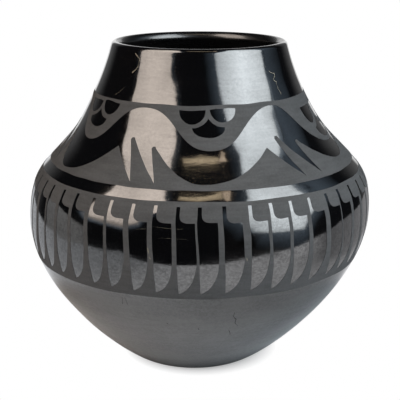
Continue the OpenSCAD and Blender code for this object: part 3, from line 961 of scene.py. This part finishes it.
class BuildStage(JarOperator):
    """Sets the floor, the lamps, the world and the camera"""

    bl_idname = "jar.build_stage"
    bl_label = "Stage"

    # Softboxes and cards: name, brightness where 1 is white, colour, reach of the halo, and corners. A
    # corner is in degrees round from the front and degrees up, as seen from the jar, with its share of
    # the brightness a little inside, at the edge, and in the halo just outside.
    CARDS = (
        ("softbox_left", 2.95, (1.0, 0.87, 0.77), 1.25, (
            (-73, 8, 0.75, 0.55, 0.35), (-78, 14, 0.75, 0.6, 0.03), (-79, 30, 0.75, 0.7, 0),
            (-85, 45, 0.95, 0.9, 0), (-96, 70, 0.6, 0.5, 0), (-46, 70, 1, 0.9, 0.02),
            (-38.5, 61, 1, 0.8, 0.05), (-33, 56, 1, 0.8, 0.05), (-27, 48, 0.97, 0.8, 0.04),
            (-25.5, 38, 0.9, 0.7, 0.04), (-32, 33, 0.82, 0.55, 0.05), (-35, 27, 0.72, 0.4, 0.07),
            (-40, 11, 0.65, 0.3, 0.22), (-48, 7, 0.7, 0.5, 0.40))),
        ("softbox_right", 4.3, (0.90, 0.965, 1.0), 1.40, (
            (31, -1, 0.46, 0.10, 0.0), (40, -4, 0.6, 0.3, 0.08), (50, -6, 0.65, 0.35, 0.10),
            (66, -8, 0.65, 0.35, 0.08), (71, 4, 0.65, 0.40, 0.08), (77, 12, 0.68, 0.40, 0.07),
            (85, 20, 0.64, 0.42, 0.08), (88, 26, 0.66, 0.44, 0.18), (85, 33, 0.60, 0.40, 0.18),
            (88, 42, 0.7, 0.45, 0.18), (94, 66, 0.5, 0.4, 0.06), (58, 66, 0.7, 0.5, 0.03),
            (47, 57, 0.68, 0.35, 0.04), (36, 49, 0.7, 0.35, 0.04), (30.5, 42, 0.66, 0.3, 0.05),
            (25.5, 36, 0.62, 0.3, 0.06), (21.5, 32.5, 0.58, 0.28, 0.06), (18, 28, 0.5, 0.22, 0.06),
            (25, 14, 0.48, 0.15, 0.05))),
        ("warm_card_left", 1.85, (1.0, 0.79, 0.52), 1.03, (
            (-24.5, 60, 0.3, 0.1, 0), (0, 60, 0.4, 0.1, 0), (24, 60.3, 0.5, 0.1, 0), (24, 65.5, 1, 1, 0),
            (5, 66.0, 1, 1, 0), (-10, 65.8, 1, 1, 0), (-20.5, 65.4, 1, 1, 0), (-25, 65.0, 1, 0.5, 0))),
        ("warm_card_right", 2.0, (1.0, 0.78, 0.57), 1.03, (
            (24.2, 60.4, 0.8, 0.5, 0), (25, 56.0, 0.9, 0.6, 0), (29, 52.6, 1, 0.8, 0), (43, 52.0, 1, 0.6, 0),
            (44.5, 60, 1, 0.6, 0), (40.5, 63.4, 1, 0.7, 0), (36, 63.9, 1, 0.9, 0), (30, 64.8, 1, 0.9, 0),
            (24.2, 65.5, 1, 1, 0))),
        ("right_wall", 0.3, (0.62, 0.80, 1.0), 1.05, (
            (88.5, 8, 0.5, 0.4, 0), (116, 12, 0.16, 0.1, 0), (120, 35, 0.16, 0.05, 0), (112, 60, 0.3, 0.0, 0),
            (99, 66, 0.6, 0.5, 0), (93, 42, 0.7, 0.7, 0), (88.5, 24, 1, 0.8, 0))),
        ("side_screen", 0.42, (1.0, 0.99, 0.98), 1.1, (
            (-75, -5, 1, 1, 0), (-88, -1, 1, 1, 0), (-102, 3.4, 1, 1, 0), (-114, 6, 0.8, 0.8, 0),
            (-116, -20, 0.65, 0.6, 0), (-75, -20, 1, 1, 0))),
    )
    # Colour of the halos
    HALO = (0.62, 0.80, 1.0)
    # Distance of the cards from a point on the jar's axis, and the height of that point, in metres
    AWAY, MIDDLE = 1.15, 0.15
    # Corners of the table top, in metres
    TABLE = (
        (-0.40, -0.385), (0.17, -0.385), (0.25, -0.35), (0.31, -0.305), (0.38, -0.25), (0.52, -0.13),
        (0.66, 0.05), (0.66, 1.6), (-0.52, 1.6), (-0.52, -0.20),
    )

    def build(self, shape, paint, finish, stage):
        self.add_camera(stage)
        for card in self.CARDS:
            self.add_card(stage, *card)
        self.add_floor(stage)
        self.add_world(stage)
        bpy.context.scene.view_settings.view_transform = "Standard"

    def add_camera(self, stage):
        data = bpy.data.cameras.new("camera")
        data.lens, data.sensor_width = stage.lens, 36
        camera = bpy.data.objects.new("camera", data)
        camera.location = (0, -stage.camera_back, stage.camera_h)
        camera.rotation_euler = (math.pi / 2 - stage.camera_down, 0, 0)
        bpy.context.scene.collection.objects.link(camera)
        bpy.context.scene.camera = camera

    def add_card(self, stage, name, level, tint, reach, corners):
        """A glowing sheet that faces the jar, with a halo round it. The camera doesn't see it."""
        corners = np.array(corners, float)
        n = len(corners)
        middle = corners[:, :2].mean(0)
        rings = ((0.9, corners[:, 2]), (1.0, corners[:, 3]), (1.0, corners[:, 4]), (reach, np.zeros(n)))
        places = [middle + size * (corners[:, :2] - middle) for size, _ in rings]
        places = np.concatenate(places + [middle[None]])
        glow = np.concatenate([share for _, share in rings] + [np.ones(1)])
        a, e = np.radians(places.T)
        points = self.AWAY * np.stack([np.cos(e) * np.sin(a), -np.cos(e) * np.cos(a), np.sin(e)], 1)
        points[:, 2] += self.MIDDLE
        after = [(k + 1) % n for k in range(n)]
        faces = [(k, after[k], 4 * n) for k in range(n)]
        for inner, outer in ((0, n), (2 * n, 3 * n)):
            faces += [(inner + k, outer + k, outer + after[k], inner + after[k]) for k in range(n)]
        mesh = bpy.data.meshes.new(name)
        mesh.from_pydata(points.tolist(), [], faces)
        mesh.attributes.new("glow", "FLOAT", "POINT").data.foreach_set("value", glow)
        card = bpy.data.objects.new(name, mesh)
        card.visible_camera = False
        bpy.context.scene.collection.objects.link(card)
        give_material(card, glowing_card(name, tint, self.HALO, level * stage.light_level))

    def add_floor(self, stage):
        mesh = bpy.data.meshes.new("floor")
        mesh.from_pydata([(x, y, 0) for x, y in self.TABLE], [], [range(len(self.TABLE))])
        floor = bpy.data.objects.new("floor", mesh)
        bpy.context.scene.collection.objects.link(floor)
        give_material(floor, pale_floor(stage))

    def add_world(self, stage):
        world = bpy.data.worlds.new("studio")
        bpy.context.scene.world = world
        world.use_nodes = True
        studio_world(world.node_tree, stage)


class Net:
    """Short calls for building a node tree."""

    def __init__(self, tree):
        self.tree = tree

    def add(self, kind, values=(), **settings):
        """A node, with its properties, and its input sockets set or linked."""
        node = self.tree.nodes.new(kind)
        for key, value in settings.items():
            setattr(node, key, value)
        for socket, value in dict(values).items():
            self.put(node.inputs[socket], value)
        return node

    def put(self, socket, value):
        """Sets a socket to a value, or links an output to it."""
        if isinstance(value, bpy.types.NodeSocket):
            self.tree.links.new(value, socket)
        else:
            socket.default_value = value

    def math(self, operation, a, b=0.0):
        return self.add("ShaderNodeMath", {0: a, 1: b}, operation=operation).outputs[0]

    def mix(self, share, a, b):
        """A colour between two."""
        node = self.add("ShaderNodeMix", data_type="RGBA")
        for name, value in (("Factor_Float", share), ("A_Color", a), ("B_Color", b)):
            self.put(next(s for s in node.inputs if s.identifier == name), value)
        return next(s for s in node.outputs if s.identifier == "Result_Color")

    def spread(self, value, low, high, to_low=0.0, to_high=1.0, smooth=False):
        """A value moved from one range to another."""
        kind = "SMOOTHSTEP" if smooth else "LINEAR"
        node = self.add("ShaderNodeMapRange", {0: value, 1: low, 2: high, 3: to_low, 4: to_high},
                        interpolation_type=kind)
        return node.outputs[0]

    def noise(self, vector, scale, detail=4.0, roughness=0.55):
        values = {"Vector": vector, "Scale": scale, "Detail": detail, "Roughness": roughness}
        return self.add("ShaderNodeTexNoise", values).outputs[0]

    def stretched(self, across, up):
        """Object coordinates with other scales level and upright."""
        where = self.add("ShaderNodeTexCoord").outputs["Object"]
        return self.add("ShaderNodeMapping", {"Vector": where, "Scale": (across, across, up)}).outputs[0]


def group(name, inputs, outputs, build):
    """A shader node group, made once."""
    known = bpy.data.node_groups.get(name)
    if known:
        return known
    tree = bpy.data.node_groups.new(name, "ShaderNodeTree")
    for label, default in inputs:
        socket = tree.interface.new_socket(name=label, in_out="INPUT", socket_type="NodeSocketFloat")
        socket.default_value = default
    for label, kind in outputs:
        tree.interface.new_socket(name=label, in_out="OUTPUT", socket_type=kind)
    net = Net(tree)
    start, end = net.add("NodeGroupInput"), net.add("NodeGroupOutput")
    for label, value in build(net, start.outputs).items():
        net.put(end.inputs[label], value)
    return tree


def stroke_marks():
    """Marks of a polishing stone or a brush: long level strokes, some slanting, over a fine grain."""

    def build(net, given):
        width = given["Stroke Width"]
        across = net.math("DIVIDE", 0.12, width)
        upright = net.math("DIVIDE", 1.0, width)
        where = net.add("ShaderNodeTexCoord").outputs["Object"]
        scale = net.add("ShaderNodeCombineXYZ", {0: across, 1: across, 2: upright}).outputs[0]
        level = net.add("ShaderNodeMapping", {"Vector": where, "Scale": scale}).outputs[0]
        tilted = net.add("ShaderNodeMapping", {"Vector": where, "Rotation": (0.5, 0.35, 0.0)}).outputs[0]
        tilted = net.add("ShaderNodeMapping", {"Vector": tilted, "Scale": scale}).outputs[0]
        strokes = net.noise(level, 1.0, 3.0, 0.6)
        slanting = net.noise(tilted, 1.3, 2.0, 0.5)
        grain = net.noise(where, given["Grain Scale"], 2.0, 0.6)
        height = net.math("ADD", net.math("MULTIPLY", strokes, 0.6), net.math("MULTIPLY", slanting, 0.4))
        height = net.math("ADD", height, net.math("MULTIPLY", grain, given["Grain"]))
        return {"Height": height, "Strokes": strokes, "Grain": grain}

    return group(
        "Stroke Marks",
        (("Stroke Width", 0.003), ("Grain Scale", 1400.0), ("Grain", 0.1)),
        (("Height", "NodeSocketFloat"), ("Strokes", "NodeSocketFloat"), ("Grain", "NodeSocketFloat")),
        build,
    )


def use_group(net, tree, **values):
    """A group placed in a tree, with its own values. Underscores stand for spaces in their names."""
    node = net.add("ShaderNodeGroup", node_tree=tree)
    for key, value in values.items():
        net.put(node.inputs[key.replace("_", " ")], value)
    return node.outputs


def new_material(name):
    """A material with a Principled shader, and the calls to build it."""
    known = bpy.data.materials.get(name)
    if known:
        return known, None, None
    material = bpy.data.materials.new(name)
    material.use_nodes = True
    net = Net(material.node_tree)
    return material, net, material.node_tree.nodes["Principled BSDF"]


def rgb(value):
    """A colour with full opacity."""
    return (*value, 1.0)


def burnished_slip(finish):
    """Black slip, burnished by hand with a stone. The polish is a coat over the glossy slip. Level
    strokes and small pits break its reflections, and dry flecks, where the stone missed, lack the coat.
    The inside of the lip is duller."""
    material, net, shader = new_material("Burnished Slip")
    if net is None:
        return material
    where = net.stretched(1.0, 1.0)
    clouds = net.spread(net.noise(where, 9.0, 3.0), 0.48, 0.78, smooth=True)
    net.put(shader.inputs["Base Color"], net.mix(clouds, rgb(finish.slip_black), rgb(finish.slip_cloud)))
    marks = use_group(net, stroke_marks(), Stroke_Width=0.0024, Grain_Scale=1100.0, Grain=0.06)
    wipes = net.noise(net.stretched(16.0, 60.0), 1.0, 4.0, 0.6)
    flecks = net.spread(net.noise(net.stretched(430.0, 640.0), 1.0, 6.0, 0.8), 0.43, 0.64)
    dots = net.spread(net.noise(where, 640.0, 2.0, 0.6), 0.52, 0.64, 0.0, 0.75, smooth=True)
    flecks = net.math("MAXIMUM", flecks, dots)
    up = net.add("ShaderNodeSeparateXYZ", {0: where}).outputs["Z"]
    # The flecks are thickest round the belly. Heights over the floor are in metres.
    worn = net.math("MULTIPLY", net.spread(up, 0.078, 0.090, 0.45), net.spread(up, 0.118, 0.140, 1.0, 0.32))
    pits = net.spread(net.noise(where, 900.0, 2.0, 0.55), 0.62, 0.76, smooth=True)
    dull = net.math("MULTIPLY", net.math("MULTIPLY", flecks, worn), net.spread(wipes, 0.35, 0.62, 0.5, 1.0))
    hazy = net.spread(net.noise(net.stretched(45.0, 45.0), 1.0, 3.0, 0.6), 0.35, 0.68, smooth=True)
    streaks = net.spread(marks["Strokes"], 0.42, 0.60, 0.0, 0.11)
    dull = net.math("ADD", dull, net.math("ADD", streaks, net.math("MULTIPLY", hazy, 0.13)))
    flat = net.add("ShaderNodeVectorMath", {0: where, 1: (1.0, 1.0, 0.0)}, operation="MULTIPLY").outputs[0]
    away = net.add("ShaderNodeVectorMath", {0: flat}, operation="LENGTH").outputs["Value"]
    # The inside of the lip, by its distance from the axis and its height
    lip = net.math("MULTIPLY", net.spread(away, 0.0596, 0.0612, 1.0, 0.0), net.spread(up, 0.20, 0.21))
    dull = net.math("ADD", dull, net.math("MULTIPLY", lip, 0.5))
    sharp = net.spread(net.math("ADD", marks["Strokes"], wipes), 0.8, 1.25,
                       finish.slip_rough - 0.02, finish.slip_rough + 0.04)
    sharp = net.math("ADD", sharp, net.math("MULTIPLY", lip, 0.18))
    net.put(shader.inputs["Roughness"], net.math("ADD", sharp, net.math("MULTIPLY", dull, 0.04)))
    shader.inputs["IOR"].default_value = 1.88
    net.put(shader.inputs["Coat Weight"], net.spread(dull, 0.0, 1.0, 1.0, 0.0))
    shader.inputs["Coat Roughness"].default_value = 0.06
    shader.inputs["Coat IOR"].default_value = 2.0
    height = net.math("SUBTRACT", marks["Height"], net.math("MULTIPLY", pits, 0.3))
    bump = net.add("ShaderNodeBump", {"Strength": 0.5, "Distance": 0.00005, "Height": height})
    net.put(shader.inputs["Normal"], bump.outputs[0])
    waves = net.noise(net.stretched(50.0, 417.0), 1.0, 3.0, 0.6)
    height = net.math("SUBTRACT", net.math("MULTIPLY", waves, 0.8), net.math("MULTIPLY", pits, 0.3))
    coat_bump = net.add("ShaderNodeBump", {"Strength": 0.5, "Distance": 0.00005, "Height": height})
    net.put(shader.inputs["Coat Normal"], coat_bump.outputs[0])
    return material


def matte_paint(finish):
    """Matte slip paint, laid on with a yucca-leaf brush: dry, slightly grainy, thicker in places."""
    material, net, shader = new_material("Matte Paint")
    if net is None:
        return material
    marks = use_group(net, stroke_marks(), Stroke_Width=0.0022, Grain_Scale=1600.0, Grain=0.5)
    patches = net.noise(net.stretched(30.0, 55.0), 1.0, 5.0, 0.65)
    specks = net.noise(net.stretched(1.0, 1.0), 760.0, 3.0, 0.6)
    share = net.math("ADD", net.math("MULTIPLY", marks["Strokes"], 0.35), net.math("MULTIPLY", patches, 0.35))
    share = net.spread(net.math("ADD", share, net.math("MULTIPLY", specks, 0.3)), 0.40, 0.60)
    net.put(shader.inputs["Base Color"], net.mix(share, rgb(finish.paint_dark), rgb(finish.paint_grey)))
    net.put(shader.inputs["Roughness"], net.spread(marks["Grain"], 0.3, 0.7, finish.paint_rough - 0.08,
                                                   finish.paint_rough + 0.1))
    shader.inputs["IOR"].default_value = 1.42
    bump = net.add("ShaderNodeBump", {"Strength": 0.5, "Distance": 0.0001, "Height": marks["Height"]})
    net.put(shader.inputs["Normal"], bump.outputs[0])
    return material


def chalky_mark(name, tone):
    """Bare clay along a scratch or chip, whose pale colour also paints hairline highlights, or a dark colour
    along a fine crack.
    """
    material, net, shader = new_material(name)
    if net is None:
        return material
    where = net.stretched(1.0, 1.0)
    patches = net.spread(net.noise(where, 900.0, 2.0), 0.35, 0.65)
    net.put(shader.inputs["Base Color"], net.mix(patches, rgb(np.array(tone) * 0.55), rgb(tone)))
    shader.inputs["Roughness"].default_value = 0.9
    shader.inputs["IOR"].default_value = 1.3
    return material


def scraped_clay(finish):
    """Clay inside the jar, scraped with a gourd and blackened by smoke."""
    material, net, shader = new_material("Scraped Clay")
    if net is None:
        return material
    marks = use_group(net, stroke_marks(), Stroke_Width=0.006, Grain_Scale=700.0, Grain=0.35)
    patches = net.noise(net.stretched(12.0, 18.0), 1.0, 4.0)
    share = net.spread(net.math("ADD", net.math("MULTIPLY", marks["Strokes"], 0.5),
                                net.math("MULTIPLY", patches, 0.5)), 0.42, 0.66)
    net.put(shader.inputs["Base Color"], net.mix(share, rgb(finish.clay_smoked), rgb(finish.clay_worn)))
    net.put(shader.inputs["Roughness"], net.spread(marks["Grain"], 0.3, 0.7, 0.62, 0.9))
    shader.inputs["IOR"].default_value = 1.45
    bump = net.add("ShaderNodeBump", {"Strength": 0.8, "Distance": 0.0004, "Height": marks["Height"]})
    net.put(shader.inputs["Normal"], bump.outputs[0])
    return material


def glowing_card(name, tint, halo, level):
    """A lit sheet of cloth, whose brightness and halo its points carry."""
    material = bpy.data.materials.new(name)
    material.use_nodes = True
    material.node_tree.nodes.clear()
    net = Net(material.node_tree)
    share = net.add("ShaderNodeAttribute", attribute_name="glow").outputs["Fac"]
    tone = net.mix(net.spread(share, 0.05, 0.3), rgb(halo), rgb(tint))
    glow = net.add("ShaderNodeEmission", {"Color": tone, "Strength": net.math("MULTIPLY", share, level)})
    net.add("ShaderNodeOutputMaterial", {"Surface": glow.outputs[0]})
    return material


def pale_floor(stage):
    """A pale table top with white paper on it. The camera sees white paper with the shadow close round
    the foot. The polish shows the paper too, from a little way out, as a painted reflection that glows,
    greyer on the left and at the far right. Nearer, it shows the lit table, whose colour holds painted
    light, lighter to the left of the jar, and a painted shadow round the foot."""
    material, net, shader = new_material("Pale Floor")
    if net is None:
        return material
    where = net.add("ShaderNodeTexCoord").outputs["Object"]
    away = net.add("ShaderNodeVectorMath", {0: where}, operation="LENGTH").outputs["Value"]
    grain = net.noise(where, 220.0, 3.0)
    tone = np.array(stage.floor_tone)
    side, back = net.add("ShaderNodeSeparateXYZ", {0: where}).outputs[:2]
    # Painted light: the floor's colour is lighter to the left of the jar than to the right, and lighter close
    # to it
    painted_lit_left = net.mix(net.spread(away, 0.085, 0.135, smooth=True), rgb(tone * 1.24), rgb(tone * 1.08))
    painted_shaded_right = net.mix(net.spread(away, 0.085, 0.135, smooth=True), rgb(tone * 0.84), rgb(tone * 0.76))
    top = net.mix(net.spread(side, -0.09, 0.09), painted_lit_left, painted_shaded_right)
    black = rgb((0.0, 0.0, 0.0))
    # Painted shadow: the colour darkens towards black close round the foot
    top = net.mix(net.spread(away, 0.046, 0.062, 0.6, 0.0), top, black)
    net.put(shader.inputs["Base Color"], net.mix(net.math("MULTIPLY", grain, 0.06), top, black))
    shader.inputs["Roughness"].default_value = 0.7
    shader.inputs["Specular IOR Level"].default_value = 0.2
    paper = net.add("ShaderNodeEmission", {"Color": rgb((1, 1, 1)), "Strength": 1.0})
    lit = net.add("ShaderNodeBsdfDiffuse", {"Color": rgb((0.9, 0.9, 0.9))})
    shaded = net.spread(away, 0.0455, 0.0595, 0.66, 0.0)
    white = net.add("ShaderNodeMixShader", {0: shaded, 1: paper.outputs[0], 2: lit.outputs[0]})
    # A painted reflection that glows for the polish alone, from a little way out: grey on the left, white on
    # the right, and darker grey far to the right, beside and behind the jar
    glow = net.mix(net.spread(side, -0.30, 0.02, smooth=True), rgb(tone * 0.76), rgb((1.0, 1.0, 1.02)))
    far_right_painted_shade = net.math("MULTIPLY", net.spread(side, 0.10, 0.26), net.spread(back, -0.20, -0.08))
    glow = net.mix(far_right_painted_shade, glow, rgb((0.33, 0.33, 0.34)))
    painted_reflection = net.add("ShaderNodeEmission", {"Color": glow, "Strength": 1.0})
    path = net.add("ShaderNodeLightPath").outputs
    out_there = net.math("MULTIPLY", path["Is Glossy Ray"], net.spread(away, 0.145, 0.205, smooth=True))
    table = net.add("ShaderNodeMixShader", {0: out_there, 1: shader.outputs[0], 2: painted_reflection.outputs[0]})
    seen = net.math("MAXIMUM", path["Is Camera Ray"], path["Is Transmission Ray"])
    both = net.add("ShaderNodeMixShader", {0: seen, 1: table.outputs[0], 2: white.outputs[0]})
    out = next(n for n in material.node_tree.nodes if n.type == "OUTPUT_MATERIAL")
    net.put(out.inputs["Surface"], both.outputs[0])
    return material


def studio_world(tree, stage):
    """White all round for the camera. What the jar reflects is a white sheet hung behind it, greyer at
    its sides, in a dim room."""
    tree.nodes.clear()
    net = Net(tree)
    path = net.add("ShaderNodeLightPath").outputs
    view = net.add("ShaderNodeTexCoord").outputs["Generated"]
    towards = net.add("ShaderNodeSeparateXYZ", {0: view}).outputs
    low = net.spread(towards["Z"], 0.35, 0.65, 1.0, 0.0, smooth=True)
    behind = net.spread(towards["Y"], 0.90, 0.97, smooth=True)
    beside = net.spread(towards["Y"], 0.58, 0.9, 0.0, 0.07, smooth=True)
    sheet = net.math("MULTIPLY", net.math("MAXIMUM", behind, beside), low)
    tone = net.mix(sheet, rgb(stage.room_tone), rgb(stage.sheet_tone))
    room = net.add("ShaderNodeBackground", {"Color": tone, "Strength": 1.0})
    white = net.add("ShaderNodeBackground", {"Color": rgb((1, 1, 1)), "Strength": 1.0})
    shown = net.math("MAXIMUM", path["Is Camera Ray"], path["Is Transmission Ray"])
    shown = net.math("MAXIMUM", shown, net.math("MULTIPLY", path["Is Glossy Ray"], sheet))
    both = net.add("ShaderNodeMixShader", {0: shown, 1: room.outputs[0], 2: white.outputs[0]})
    net.add("ShaderNodeOutputWorld", {"Surface": both.outputs[0]})


class JarPanel(bpy.types.Panel):
    """The jar's sizes, colours and builders"""

    bl_idname = "VIEW3D_PT_jar"
    bl_label = "Coil-Built Jar"
    bl_space_type = "VIEW_3D"
    bl_region_type = "UI"
    bl_category = "Jar"

    def draw(self, context):
        layout = self.layout
        for operator in OPERATORS:
            layout.operator(operator.bl_idname)
        for name, kind in SETTINGS:
            box = layout.box()
            box.label(text=kind.__doc__)
            for key in kind.__annotations__:
                box.prop(getattr(context.scene, name), key)


OPERATORS = (BuildSlip, BuildClay, BuildFeatherBand, BuildMountainBand, BuildCloudBand, BuildScratches,
             BuildStage)
CLASSES = tuple(kind for _, kind in SETTINGS) + OPERATORS + (JarPanel,)


def register():
    """Adds the classes, and the settings to the scene."""
    for kind in CLASSES:
        bpy.utils.register_class(kind)
    for name, kind in SETTINGS:
        setattr(bpy.types.Scene, name, PointerProperty(type=kind))


def unregister():
    """Takes them away again."""
    for name, _ in SETTINGS:
        delattr(bpy.types.Scene, name)
    for kind in reversed(CLASSES):
        bpy.utils.unregister_class(kind)


def main():
    """Builds every piece and the stage."""
    register()
    for operator in OPERATORS:
        group_name, short_name = operator.bl_idname.split(".")
        getattr(getattr(bpy.ops, group_name), short_name)()


if __name__ == "__main__":
    main()
